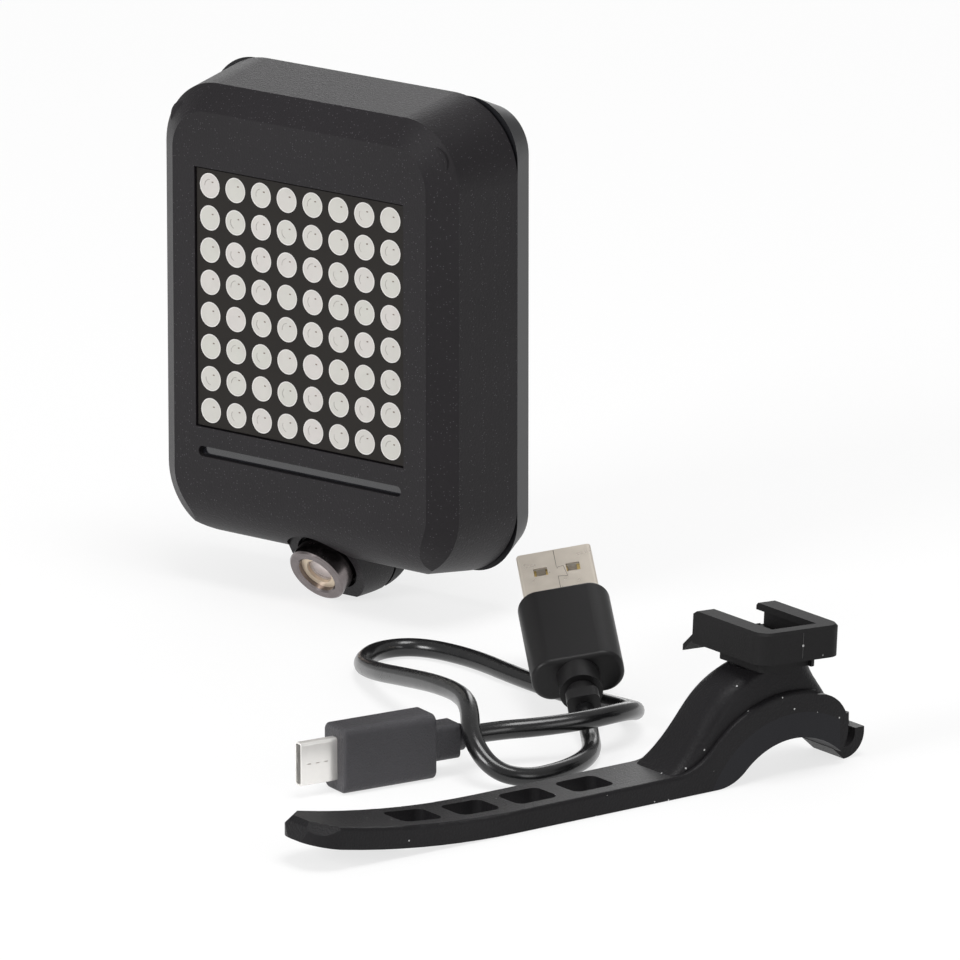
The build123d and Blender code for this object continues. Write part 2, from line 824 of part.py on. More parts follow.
# Charging socket, the flap over it and the strip that the flap hangs from
port_mouth = control_floor - pocket_depth - flap_boss_gap
port_reach = port_mouth - matrix_side / 2 - port_clear
with BuildPart() as usb_socket:
    with BuildSketch(side_plane(-port_mouth)):
        with Locations((control_depth, -port_drop)):
            Rectangle(port_thickness, port_length)
    extrude(amount=port_reach)
    with BuildSketch(side_plane(-port_mouth)):
        with Locations((control_depth, -port_drop)):
            Rectangle(port_thickness - 2 * port_wall, port_length - 2 * port_wall)
    extrude(amount=port_reach - port_wall, mode=Mode.SUBTRACT)
    with BuildSketch(side_plane(-port_mouth + port_reach)):
        with Locations((control_depth, -port_drop)):
            Rectangle(port_tongue, port_length / 2)
    extrude(amount=-port_reach + port_tongue)
usb_socket.part.label = "usb_socket"
export_step(usb_socket.part, "parts/usb_socket.step")

flap_inner = control_floor + flap_seat_gap
flap_outer = flap_inner + flap_thickness
bead_radius = flap_thickness / 2
bead_drop = port_drop + flap_length / 2 - bead_radius
boss_width = pocket_width - 2 * flap_boss_gap
boss_length = pocket_length - 2 * flap_boss_gap
with BuildPart() as usb_flap:
    with BuildSketch(side_plane(-flap_outer)) as flap_face:
        with Locations((control_depth, -bead_drop)):
            Rectangle(flap_width, flap_length - bead_radius, align=(Align.CENTER, Align.MIN))
        fillet(flap_face.vertices().group_by(Axis.Y)[-1], flap_corner)
    extrude(amount=flap_thickness)
    with BuildSketch(face_plane(control_depth - flap_width / 2)):
        with Locations((-flap_inner - bead_radius, -bead_drop)):
            Circle(bead_radius)
    extrude(amount=-flap_width)
    with BuildSketch(side_plane(-flap_inner)):
        with Locations((control_depth, -port_drop)):
            RectangleRounded(boss_width, boss_length, pocket_corner)
    extrude(amount=flap_boss_height)
usb_flap.part.label = "usb_flap"
export_step(usb_flap.part, "parts/usb_flap.step")

anchor_middle = -port_drop - flap_length / 2 - hinge_gap - anchor_length / 2
with BuildPart() as flap_anchor:
    with BuildSketch(side_plane(-flap_outer)):
        with Locations((control_depth, anchor_middle)):
            Rectangle(flap_width, anchor_length)
    extrude(amount=flap_outer - control_floor)
    with BuildSketch(side_plane(-control_floor)):
        with Locations((control_depth, anchor_middle)):
            Circle(stud_radius - fit_gap)
    extrude(amount=stud_length)
flap_anchor.part.label = "flap_anchor"
export_step(flap_anchor.part, "parts/flap_anchor.step")

# Laser module
with BuildPart() as laser_tube:
    with BuildSketch(laser_plane(0)):
        Circle(tube_radius)
        Circle(tube_bore, mode=Mode.SUBTRACT)
    extrude(amount=-laser_length)
    tube_rims = laser_tube.edges().filter_by(GeomType.CIRCLE)
    chamfer(tube_rims.sort_by_distance(laser_plane(0).origin)[0:2], tube_edge)
laser_tube.part.label = "laser_tube"
export_step(laser_tube.part, "parts/laser_tube.step")

with BuildPart() as laser_ring:
    with BuildSketch(laser_plane(ring_place)):
        Circle(tube_bore - fit_gap)
        Circle(lens_radius + fit_gap, mode=Mode.SUBTRACT)
    extrude(amount=-ring_thickness)
laser_ring.part.label = "laser_ring"
export_step(laser_ring.part, "parts/laser_ring.step")

lens_bulge = (lens_radius ** 2 + lens_sag ** 2) / (2 * lens_sag)
with BuildPart() as laser_lens:
    with BuildSketch(laser_plane(ring_place + ring_thickness)):
        Circle(lens_radius)
    extrude(amount=lens_edge + lens_sag)
    with Locations(laser_plane(ring_place + ring_thickness - lens_edge - lens_sag + lens_bulge)):
        Sphere(lens_bulge, mode=Mode.INTERSECT)
laser_lens.part.label = "laser_lens"
export_step(laser_lens.part, "parts/laser_lens.step")

with BuildPart() as laser_diode:
    with BuildSketch(laser_plane(diode_place)):
        Circle(tube_bore - fit_gap)
    extrude(amount=-diode_length)
laser_diode.part.label = "laser_diode"
export_step(laser_diode.part, "parts/laser_diode.step")

with BuildPart() as laser_board:
    with BuildSketch(laser_plane(driver_place)):
        Circle(tube_bore - fit_gap)
    extrude(amount=-driver_thickness)
laser_board.part.label = "laser_board"
export_step(laser_board.part, "parts/laser_board.step")

with BuildPart() as laser_seal:
    with BuildSketch(laser_plane(tube_seal_place)):
        Circle(tube_radius + bore_gap)
        Circle(tube_radius, mode=Mode.SUBTRACT)
    extrude(amount=-tube_seal_width)
laser_seal.part.label = "laser_seal"
export_step(laser_seal.part, "parts/laser_seal.step")

# Rubber saddle pad: the softer layer under the strap that grips the post
with BuildPart() as saddle_pad:
    with BuildSketch(strap_plane(-strap_width / 2)) as pad_side:
        with Locations((arch_middle, arch_top - arch_radius)):
            Circle(arch_radius + pad_thickness)
            Circle(arch_radius, mode=Mode.SUBTRACT)
        with Locations((pad_right - tail_end, tail_end)):
            Rectangle(2 * tail_end, 2 * tail_end, mode=Mode.INTERSECT)
        fillet(pad_side.vertices().sort_by_distance((-foot_reach, 0))[0], foot_fillet)
    extrude(amount=strap_width)
saddle_pad.part.label = "saddle_pad"
export_step(saddle_pad.part, "parts/saddle_pad.step")

# Rubber strap: holed tail, saddle, pedestal for the bracket and hook, moulded in one
with BuildPart() as rubber_strap:
    with BuildSketch(strap_plane(-strap_width / 2)):
        add(saddle_outline())
    extrude(amount=strap_width)
    fillet(rubber_strap.edges().filter_by(GeomType.CIRCLE).filter_by(
        lambda edge: abs(edge.radius - saddle_radius) < edge_round), radius=edge_round)
    for height, left, right, half, corner in pedestal_rows:
        with BuildSketch(strap_floor(height)):
            with Locations(((left + right) / 2, 0)):
                RectangleRounded(right - left, 2 * half, corner)
    with BuildSketch(bracket_plane(-turret_height - pedestal_gap)):
        RectangleRounded(pedestal_top_length, pedestal_top_width, pedestal_top_corner)
    loft()
    split(bisect_by=bracket_plane(-turret_height - pedestal_gap), keep=Keep.BOTTOM)
    with BuildSketch(strap_plane(-strap_width / 2)):
        with Locations((arch_middle, -arch_drop)):
            Circle(arch_radius)
    extrude(amount=strap_width, mode=Mode.SUBTRACT)
    add(saddle_pad.part, mode=Mode.SUBTRACT)
    with BuildSketch(strap_floor(0)) as strap_plan:
        Rectangle(2 * tail_end, strap_width)
        fillet(strap_plan.vertices().group_by(Axis.X)[0], tip_corner)
        with Locations(*[(i * hole_pitch - last_hole, 0) for i in range(hole_count)]):
            RectangleRounded(hole_length, hole_width, hole_corner, mode=Mode.SUBTRACT)
    extrude(amount=2 * bracket_base, mode=Mode.INTERSECT)
    for turn in (-tip_turn, 0, tip_turn):
        split(bisect_by=tip_bevel(turn), keep=Keep.BOTTOM)
    with BuildSketch(strap_plane(-hook_width / 2)):
        with BuildLine():
            outer = CenterArc((hook_middle, hook_radius), hook_radius, -90, 90)
            inner = CenterArc((hook_middle, hook_radius), hook_radius - hook_thickness, -90, 90)
            outer_top = (hook_middle + hook_radius, hook_radius + hook_rise)
            inner_top = (outer_top[0] - hook_thickness, outer_top[1])
            Polyline(outer @ 1, outer_top, inner_top, inner @ 1)
            Polyline(inner @ 0, (nose_middle + nose_radius - edge_round, hook_root_top),
                     (hook_root, hook_root_top), (hook_root, hook_root_low), outer @ 0)
        make_face()
    extrude(amount=hook_width)
    with BuildSketch(strap_floor(hook_radius + hook_rise)):
        with Locations((hook_middle + hook_radius - hook_thickness / 2, 0)):
            Circle(nub_radius)
    extrude(amount=nub_height)
    with BuildSketch(bracket_plane(0)):
        Circle(pivot_radius + pivot_gap)
    extrude(amount=-insert_drop - insert_length - pivot_gap, mode=Mode.SUBTRACT)
    with BuildSketch(bracket_plane(-insert_drop)):
        Circle(insert_radius)
    extrude(amount=-insert_length, mode=Mode.SUBTRACT)
rubber_strap.part.label = "rubber_strap"
export_step(rubber_strap.part, "parts/rubber_strap.step")

# Bracket: channel for the light's rail, open at one end, on a turret that swivels
channel_half = rail_width / 2 + rail_side_gap
slot_half = rail_neck_width / 2 + neck_side_gap
channel_height = bracket_height - bracket_lip - bracket_floor
channel_length = bracket_length - bracket_end_wall
channel_middle = bracket_end_wall / 2
latch_cut = latch_root - latch_thickness / 2 - latch_gap / 2
open_end = bracket_length / 2
with BuildPart() as bracket:
    with BuildSketch(bracket_plane(0)) as bracket_plan:
        Rectangle(bracket_width, bracket_length)
        fillet(bracket_plan.vertices().group_by(Axis.Y)[0], bracket_corner)
    extrude(amount=bracket_height)
    chamfer(bracket.faces().filter_by(Axis(bracket_plane(0).origin, bracket_plane(0).z_dir)).sort_by(
        Axis(bracket_plane(0).origin, bracket_plane(0).z_dir))[-1].edges(), bracket_edge)
    with BuildSketch(bracket_plane(0)):
        RectangleRounded(turret_width, turret_length, turret_corner)
        with Locations(((turret_width - turret_notch_width) / 2 - turret_corner, -turret_length / 2)):
            Rectangle(turret_notch_width, 2 * turret_notch_length, mode=Mode.SUBTRACT)
    extrude(amount=-turret_height)
    with BuildSketch(bracket_plane(bracket_floor)):
        with Locations((0, channel_middle)):
            Rectangle(2 * channel_half, channel_length)
    extrude(amount=channel_height, mode=Mode.SUBTRACT)
    with BuildSketch(bracket_plane(bracket_floor)):
        with Locations((0, channel_middle)):
            Rectangle(2 * slot_half, channel_length)
    extrude(amount=bracket_height, mode=Mode.SUBTRACT)
    with BuildSketch(bracket_plane(bracket_floor)):
        with Locations((0, (latch_cut + open_end) / 2)):
            Rectangle(2 * latch_half + 2 * latch_gap, open_end - latch_cut)
    extrude(amount=-bracket_floor - turret_height, mode=Mode.SUBTRACT)
    with BuildSketch(bracket_plane(bracket_floor)):
        Circle(pivot_radius + pivot_gap)
    extrude(amount=-bracket_floor - turret_height, mode=Mode.SUBTRACT)
    with BuildSketch(bracket_plane(bracket_floor)):
        Circle(pivot_head_radius + pivot_head_gap)
    extrude(amount=-pivot_head_height, mode=Mode.SUBTRACT)
bracket.part.label = "bracket"
export_step(bracket.part, "parts/bracket.step")

# Release latch: tongue in the bracket's floor with a locking step and a finger tab
tab_start = open_end + tab_gap
tab_end = tab_start + tab_reach
step_end = latch_face + latch_ramp
tongue_bottom = bracket_floor - latch_thickness
hinge_height = bracket_floor - latch_thickness / 2
with BuildPart() as release_latch:
    with BuildSketch(bracket_side(-latch_half)):
        with BuildLine():
            Polyline((tongue_bottom, latch_root), (tongue_bottom, tab_start + tab_thickness),
                     (bracket_floor, tab_start + tab_thickness), (bracket_floor, step_end),
                     (bracket_floor + latch_height, latch_face), (bracket_floor, latch_face),
                     (bracket_floor, latch_root), close=True)
        make_face()
        with Locations((hinge_height, latch_root)):
            Circle(latch_thickness / 2)
    extrude(amount=-2 * latch_half)
    with BuildSketch(bracket_side(-tab_half)):
        with BuildLine():
            Polyline((tongue_bottom, tab_start), (bracket_floor, tab_start),
                     (bracket_floor - tab_drop, tab_end), (tongue_bottom - tab_drop, tab_end), close=True)
        make_face()
    extrude(amount=-2 * tab_half)
release_latch.part.label = "release_latch"
export_step(release_latch.part, "parts/release_latch.step")

# Swivel screw and the metal insert that it turns into
head_seat = bracket_floor - pivot_head_height
with BuildPart() as swivel_screw:
    with BuildSketch(bracket_plane(head_seat)):
        Circle(pivot_head_radius)
    extrude(amount=pivot_head_height)
    with BuildSketch(bracket_plane(head_seat)):
        Circle(pivot_radius)
    extrude(amount=-pivot_length)
    with BuildSketch(bracket_plane(bracket_floor)):
        Rectangle(cross_length, cross_width)
        Rectangle(cross_width, cross_length)
    extrude(amount=-cross_depth, mode=Mode.SUBTRACT)
swivel_screw.part.label = "swivel_screw"
export_step(swivel_screw.part, "parts/swivel_screw.step")

with BuildPart() as swivel_insert:
    with BuildSketch(bracket_plane(-insert_drop)):
        Circle(insert_radius)
        Circle(pivot_radius + thread_gap, mode=Mode.SUBTRACT)
    extrude(amount=-insert_length)
swivel_insert.part.label = "swivel_insert"
export_step(swivel_insert.part, "parts/swivel_insert.step")

# Charging cable. Each plug has a frame along itself, measured from the cord's end of its relief


def plug_a_plane(place):
    """A plane square to the USB-A plug, place from the cord, X along its broad side."""
    level = cos(radians(plug_a_rise))
    turn_cos = cos(radians(plug_a_yaw))
    turn_sin = sin(radians(plug_a_yaw))
    forward = Vector(level * turn_cos, level * turn_sin, sin(radians(plug_a_rise)))
    flat = Vector(-turn_sin, turn_cos, 0)
    rolled = flat * cos(radians(plug_a_roll)) + forward.cross(flat) * sin(radians(plug_a_roll))
    return Plane(origin=Vector(*plug_a_place) + forward * place, x_dir=rolled, z_dir=forward)


def micro_plane(place):
    """A plane square to the micro-USB plug, place from the cord, X along its broad side."""
    forward = (cos(radians(micro_yaw)), sin(radians(micro_yaw)), 0)
    centre = [micro_place[i] + place * forward[i] for i in range(3)]
    return Plane(origin=centre, x_dir=(0, 0, 1), z_dir=forward)


grip_a_start = relief_a_length
shell_a_start = grip_a_start + grip_a_length
with BuildPart() as usb_a_relief:
    with BuildSketch(plug_a_plane(0)):
        Circle(neck_a_radius)
    extrude(amount=relief_a_length)
    with BuildSketch(plug_a_plane(0)):
        RectangleRounded(cuff_a_side, cuff_a_side, cuff_a_corner)
    extrude(amount=cuff_a_length)
    with BuildSketch(plug_a_plane(relief_a_length - collar_a_length)):
        Circle(collar_a_radius)
    extrude(amount=collar_a_length)
usb_a_relief.part.label = "usb_a_relief"
export_step(usb_a_relief.part, "parts/usb_a_relief.step")

with BuildPart() as usb_a_grip:
    with BuildSketch(plug_a_plane(grip_a_start)):
        RectangleRounded(grip_a_width, grip_a_thickness, grip_a_corner)
    extrude(amount=grip_a_length)
    along_a = Axis(plug_a_plane(0).origin, plug_a_plane(0).z_dir)
    fillet(usb_a_grip.faces().sort_by(along_a)[0].edges() + usb_a_grip.faces().sort_by(along_a)[-1].edges(),
           radius=grip_a_edge)
usb_a_grip.part.label = "usb_a_grip"
export_step(usb_a_grip.part, "parts/usb_a_grip.step")

with BuildPart() as usb_a_shell:
    with BuildSketch(plug_a_plane(shell_a_start)):
        RectangleRounded(shell_a_width, shell_a_height, shell_a_corner)
        RectangleRounded(shell_a_width - 2 * shell_a_wall, shell_a_height - 2 * shell_a_wall,
                         shell_a_corner - shell_a_wall, mode=Mode.SUBTRACT)
    extrude(amount=shell_a_length)
    with BuildSketch(Plane(origin=plug_a_plane(shell_a_start + shell_a_hole_place).origin,
                           x_dir=plug_a_plane(0).x_dir, z_dir=plug_a_plane(0).y_dir)):
        with Locations((-shell_a_hole_x, 0), (shell_a_hole_x, 0)):
            Rectangle(shell_a_hole, shell_a_hole)
    extrude(amount=shell_a_height, both=True, mode=Mode.SUBTRACT)
usb_a_shell.part.label = "usb_a_shell"
export_step(usb_a_shell.part, "parts/usb_a_shell.step")

insulator_middle = (insulator_height - shell_a_height) / 2 + shell_a_wall
with BuildPart() as usb_a_insulator:
    with BuildSketch(plug_a_plane(shell_a_start)):
        with Locations((0, insulator_middle)):
            Rectangle(insulator_width, insulator_height)
    extrude(amount=insulator_length)
usb_a_insulator.part.label = "usb_a_insulator"
export_step(usb_a_insulator.part, "parts/usb_a_insulator.step")

contact_a_level = insulator_middle + (insulator_height + contact_a_height) / 2
contact_a_offsets = [(i - (contact_a_count - 1) / 2) * contact_a_pitch for i in range(contact_a_count)]
with BuildPart() as usb_a_contacts:
    with BuildSketch(plug_a_plane(shell_a_start + insulator_length - contact_a_length - contact_a_width)):
        with Locations(*[(x, contact_a_level) for x in contact_a_offsets]):
            Rectangle(contact_a_width, contact_a_height)
    extrude(amount=contact_a_length)
usb_a_contacts.part.label = "usb_a_contacts"
export_step(usb_a_contacts.part, "parts/usb_a_contacts.step")

grip_b_start = relief_b_length
shell_b_start = grip_b_start + grip_b_length
with BuildPart() as micro_relief:
    with BuildSketch(micro_plane(0)):
        Circle(neck_b_radius)
    extrude(amount=relief_b_length)
    with BuildSketch(micro_plane(relief_b_length - collar_b_length)):
        RectangleRounded(collar_b_width, collar_b_thickness, collar_b_corner)
    extrude(amount=collar_b_length)
micro_relief.part.label = "micro_relief"
export_step(micro_relief.part, "parts/micro_relief.step")

with BuildPart() as micro_grip:
    with BuildSketch(micro_plane(grip_b_start)):
        RectangleRounded(grip_b_width, grip_b_thickness, grip_b_corner)
    extrude(amount=grip_b_length)
    along_b = Axis(micro_plane(0).origin, micro_plane(0).z_dir)
    fillet(micro_grip.faces().sort_by(along_b)[0].edges() + micro_grip.faces().sort_by(along_b)[-1].edges(),
           radius=grip_b_edge)
micro_grip.part.label = "micro_grip"
export_step(micro_grip.part, "parts/micro_grip.step")

with BuildPart() as micro_shell:
    with BuildSketch(micro_plane(shell_b_start)):
        RectangleRounded(shell_b_width, shell_b_height, shell_b_corner)
        RectangleRounded(shell_b_width - 2 * shell_b_wall, shell_b_height - 2 * shell_b_wall,
                         shell_b_corner - shell_b_wall, mode=Mode.SUBTRACT)
    extrude(amount=shell_b_length)
micro_shell.part.label = "micro_shell"
export_step(micro_shell.part, "parts/micro_shell.step")

with BuildPart() as micro_tongue:
    with BuildSketch(micro_plane(shell_b_start)):
        Rectangle(tongue_width, tongue_height)
    extrude(amount=tongue_length)
micro_tongue.part.label = "micro_tongue"
export_step(micro_tongue.part, "parts/micro_tongue.step")

contact_b_level = (tongue_height + contact_b_height) / 2
contact_b_offsets = [(i - (contact_b_count - 1) / 2) * contact_b_pitch for i in range(contact_b_count)]
with BuildPart() as micro_contacts:
    with BuildSketch(micro_plane(shell_b_start + tongue_length - contact_b_length - contact_b_width)):
        with Locations(*[(x, contact_b_level) for x in contact_b_offsets]):
            Rectangle(contact_b_width, contact_b_height)
    extrude(amount=contact_b_length)
micro_contacts.part.label = "micro_contacts"
export_step(micro_contacts.part, "parts/micro_contacts.step")

# The cord: straight runs joined by arcs, each arc as large as its shorter run allows
cord_start = [Vector(*plug_a_place), plug_a_plane(-end_run_a).origin]
cord_finish = [micro_plane(-end_run_b).origin, Vector(*micro_place)]
cord_route = cord_start + [Vector(*point) for point in cord_points] + cord_finish
cord_bends = []
for before, corner, after in zip(cord_route, cord_route[1:], cord_route[2:]):
    turn = (corner - before).get_angle(after - corner)
    shorter = min((corner - before).length, (after - corner).length)
    cord_bends.append(bend_share * shorter / tan(radians(turn / 2)))
with BuildPart() as charge_cord:
    with BuildLine() as cord_line:
        FilletPolyline(*cord_route, radius=cord_bends)
    with BuildSketch(plug_a_plane(0)):
        Circle(cord_radius)
    sweep()
charge_cord.part.label = "charge_cord"
export_step(charge_cord.part, "parts/charge_cord.step")

print("cord bends", [round(bend, 1) for bend in cord_bends])
cord_length = sum(edge.length for edge in cord_line.edges())
print("cord length", round(cord_length, 1))
print("cord volume", round(charge_cord.part.volume, 1), round(pi * cord_radius ** 2 * cord_length, 1))
print("cord route", [tuple(round(value, 2) for value in point) for point in cord_route])
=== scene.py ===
import json
from math import cos, pi, radians, sin

import bpy
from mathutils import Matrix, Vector


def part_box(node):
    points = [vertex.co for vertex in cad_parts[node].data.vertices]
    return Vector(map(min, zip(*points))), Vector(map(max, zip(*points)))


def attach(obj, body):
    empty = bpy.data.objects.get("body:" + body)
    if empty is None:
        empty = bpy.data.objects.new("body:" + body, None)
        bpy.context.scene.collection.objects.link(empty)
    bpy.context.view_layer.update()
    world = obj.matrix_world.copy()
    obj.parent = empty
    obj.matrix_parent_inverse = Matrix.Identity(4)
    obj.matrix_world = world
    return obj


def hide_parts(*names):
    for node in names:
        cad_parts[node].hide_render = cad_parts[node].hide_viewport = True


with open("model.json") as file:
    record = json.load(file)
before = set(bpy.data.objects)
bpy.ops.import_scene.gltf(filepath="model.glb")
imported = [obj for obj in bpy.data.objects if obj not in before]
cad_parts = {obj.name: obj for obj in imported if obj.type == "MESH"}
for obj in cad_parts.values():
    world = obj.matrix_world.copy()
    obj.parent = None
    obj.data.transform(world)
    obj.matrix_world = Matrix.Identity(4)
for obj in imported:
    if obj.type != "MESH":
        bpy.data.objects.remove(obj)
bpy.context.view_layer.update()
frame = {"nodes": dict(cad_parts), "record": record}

nodes = frame["nodes"]
scene = bpy.context.scene
mm = 0.001

# Places read from the frame
dots_low, dots_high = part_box("led_dots")
module_low, module_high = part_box("led_matrix_body")
dot_count = 8
dot_pitch = (module_high.x - module_low.x) / dot_count
dot_radius = (dots_high.x - dots_low.x - (dot_count - 1) * dot_pitch) / 2
panel_height = (module_low.z + module_high.z) / 2

# Frames of the bracket and the two plugs, from the record
record = frame["record"]
mounts = {mount["name"]: (Vector(mount["pos_m"]), Vector(mount["axis"])) for mount in record["mounts"]}
swivel = next(joint for joint in record["behaviour"]["joints"] if joint["name"] == "bracket_swivel")
bracket_foot, bracket_up = Vector(swivel["pos_m"]), Vector(swivel["axis"])
bracket_along = mounts["bracket_channel"][1]
bracket_length = 17.4
bracket_height = 5.0
plug_a_tip, plug_a_forward = mounts["usb_a_plug"]
plug_a_roll = -10.0
shell_a_height = 4.5
micro_tip, micro_forward = mounts["micro_usb_plug"]
shell_b_height = 1.8

# Camera, at the photograph's viewing angle
view_azimuth = 38.6
view_elevation = 15.0
view_distance = 1.8
view_lens = 425.0
view_target = Vector((0.0412, -0.0167, 0.0293))

# The cord's route, point by point as in the part, in millimetres
cord_route = [
    (80.7, -40.0, 3.8),
    (85.7, -45.0, 1.5),
    (90.8, -51.0, 1.5),
    (93.3, -56.7, 1.5),
    (94.0, -63.2, 1.5),
    (92.5, -69.4, 1.5),
    (88.5, -72.7, 2.8),
    (83.3, -71.7, 6.6),
    (77.9, -65.2, 9.6),
    (71.5, -60.0, 9.4),
    (62.6, -55.0, 8.2),
    (51.2, -48.7, 5.8),
    (40.4, -42.6, 3.4),
    (31.7, -35.5, 1.5),
    (28.7, -27.6, 1.5),
    (32.6, -21.6, 1.5),
    (43.5, -21.6, 1.5),
    (56.5, -25.9, 1.5),
    (68.3, -28.6, 1.5),
    (76.8, -28.9, 1.5),
    (85.3, -32.3, 2.6),
    (90.1, -40.7, 5.6),
    (89.0, -49.8, 5.8),
    (84.7, -56.5, 5.4),
    (80.02, -61.77, 5.2),
    (77.9, -67.6, 5.2),
]
cord_radius = 1.5


class Tree:
    """Short words for adding and joining nodes in one shader or geometry tree."""

    def __init__(self, tree):
        self.tree = tree

    def add(self, kind, **settings):
        node = self.tree.nodes.new(kind)
        for name, value in settings.items():
            setattr(node, name, value)
        return node

    def join(self, source, target):
        self.tree.links.new(source, target)

    def math(self, operation, first, second=None, third=None):
        node = self.add("ShaderNodeMath", operation=operation)
        for place, value in enumerate((first, second, third)):
            if value is None:
                continue
            if isinstance(value, (int, float)):
                node.inputs[place].default_value = value
            else:
                self.join(value, node.inputs[place])
        return node.outputs[0]


def new_group(name, inputs, outputs):
    """An empty shader node group with its named sockets."""
    group = bpy.data.node_groups.new(name, "ShaderNodeTree")
    for label, kind, value in inputs:
        socket = group.interface.new_socket(label, in_out="INPUT", socket_type=kind)
        if value is not None:
            socket.default_value = value
    for label, kind in outputs:
        group.interface.new_socket(label, in_out="OUTPUT", socket_type=kind)
    tree = Tree(group)
    return group, tree, tree.add("NodeGroupInput"), tree.add("NodeGroupOutput")


def make_grain_group():
    """Moulded grain: a height for bumps, and a slow mottle for colour and gloss."""
    group, tree, given, made = new_group(
        "moulded grain",
        [("Vector", "NodeSocketVector", None), ("Grain Size", "NodeSocketFloat", 900.0),
         ("Mottle Size", "NodeSocketFloat", 60.0)],
        [("Height", "NodeSocketFloat"), ("Mottle", "NodeSocketFloat")])
    fine = tree.add("ShaderNodeTexNoise")
    fine.inputs["Detail"].default_value = 3.0
    fine.inputs["Roughness"].default_value = 0.6
    tree.join(given.outputs["Vector"], fine.inputs["Vector"])
    tree.join(given.outputs["Grain Size"], fine.inputs["Scale"])
    slow = tree.add("ShaderNodeTexNoise")
    slow.inputs["Detail"].default_value = 2.0
    tree.join(given.outputs["Vector"], slow.inputs["Vector"])
    tree.join(given.outputs["Mottle Size"], slow.inputs["Scale"])
    tree.join(fine.outputs["Fac"], made.inputs["Height"])
    tree.join(slow.outputs["Fac"], made.inputs["Mottle"])
    return group


def make_speck_group():
    """A mask of small round specks, few or many: settled dirt on the rubber and bracket, and on the case
    painted glints where its grain catches the light.
    """
    group, tree, given, made = new_group(
        "speck mask",
        [("Vector", "NodeSocketVector", None), ("Spacing", "NodeSocketFloat", 300.0),
         ("Speck Size", "NodeSocketFloat", 0.12), ("Share", "NodeSocketFloat", 0.1)],
        [("Specks", "NodeSocketFloat")])
    cells = tree.add("ShaderNodeTexVoronoi")
    tree.join(given.outputs["Vector"], cells.inputs["Vector"])
    tree.join(given.outputs["Spacing"], cells.inputs["Scale"])
    near = tree.math("LESS_THAN", cells.outputs["Distance"], given.outputs["Speck Size"])
    chosen = tree.add("ShaderNodeSeparateColor")
    tree.join(cells.outputs["Color"], chosen.inputs["Color"])
    lucky = tree.math("LESS_THAN", chosen.outputs["Red"], given.outputs["Share"])
    tree.join(tree.math("MULTIPLY", near, lucky), made.inputs["Specks"])
    return group


def make_dot_group():
    """The face of one LED dot, repeated by the pitch: a painted highlight on its rim, standing in for the
    light its bevel catches, and a tint of its own.
    """
    group, tree, given, made = new_group(
        "dot face",
        [("Vector", "NodeSocketVector", None), ("Pitch", "NodeSocketFloat", 0.005),
         ("Middle", "NodeSocketFloat", 0.04), ("Radius", "NodeSocketFloat", 0.002)],
        [("Rim Highlight", "NodeSocketFloat"), ("Tint", "NodeSocketFloat")])
    split = tree.add("ShaderNodeSeparateXYZ")
    tree.join(given.outputs["Vector"], split.inputs["Vector"])
    cell = tree.add("ShaderNodeCombineXYZ")

    def from_middle(value, middle, cell_socket):
        steps = tree.math("DIVIDE", tree.math("SUBTRACT", value, middle), given.outputs["Pitch"])
        steps = tree.math("ADD", steps, dot_count / 2)
        tree.join(tree.math("FLOOR", steps), cell.inputs[cell_socket])
        part = tree.math("SUBTRACT", tree.math("FRACT", steps), 0.5)
        offset = tree.math("MULTIPLY", part, given.outputs["Pitch"])
        return tree.math("DIVIDE", offset, given.outputs["Radius"])

    across = from_middle(split.outputs["X"], 0.0, "X")
    up = from_middle(split.outputs["Z"], given.outputs["Middle"], "Z")
    away = tree.math("SQRT", tree.math("MULTIPLY_ADD", across, across, tree.math("MULTIPLY", up, up)))
    # The ring at each dot's edge: the mask for the painted rim highlight
    tree.join(tree.math("GREATER_THAN", away, 0.92), made.inputs["Rim Highlight"])
    tint = tree.add("ShaderNodeTexWhiteNoise", noise_dimensions="3D")
    tree.join(cell.outputs["Vector"], tint.inputs["Vector"])
    tree.join(tint.outputs["Value"], made.inputs["Tint"])
    return group


def new_geometry_tree(name, inputs):
    """An empty geometry tree with its named inputs and one mesh out."""
    group = bpy.data.node_groups.new(name, "GeometryNodeTree")
    group.interface.new_socket("Mesh", in_out="OUTPUT", socket_type="NodeSocketGeometry")
    for label, kind in inputs:
        group.interface.new_socket(label, in_out="INPUT", socket_type=kind)
    tree = Tree(group)
    return group, tree, tree.add("NodeGroupInput"), tree.add("NodeGroupOutput")


def finish_geometry(tree, given, made, instances):
    """Ends a geometry tree: instances made real, in their finish."""
    real = tree.add("GeometryNodeRealizeInstances")
    tree.join(instances, real.inputs["Geometry"])
    painted = tree.add("GeometryNodeSetMaterial")
    tree.join(real.outputs["Geometry"], painted.inputs["Geometry"])
    tree.join(given.outputs["Finish"], painted.inputs["Material"])
    tree.join(painted.outputs["Geometry"], made.inputs["Mesh"])


def add_dot_grid(tree, given):
    """One point on each dot's face, in rows and columns by the pitch."""
    span = tree.math("MULTIPLY", given.outputs["Pitch"], dot_count - 1)
    grid = tree.add("GeometryNodeMeshGrid")
    tree.join(span, grid.inputs["Size X"])
    tree.join(span, grid.inputs["Size Y"])
    grid.inputs["Vertices X"].default_value = dot_count
    grid.inputs["Vertices Y"].default_value = dot_count
    upright = tree.add("GeometryNodeTransform")
    upright.inputs["Rotation"].default_value = (pi / 2, 0, 0)
    tree.join(grid.outputs["Mesh"], upright.inputs["Geometry"])
    tree.join(given.outputs["Middle"], upright.inputs["Translation"])
    return upright.outputs["Geometry"]


dot_grid_inputs = [("Middle", "NodeSocketVector"), ("Pitch", "NodeSocketFloat"),
                   ("Finish", "NodeSocketMaterial")]


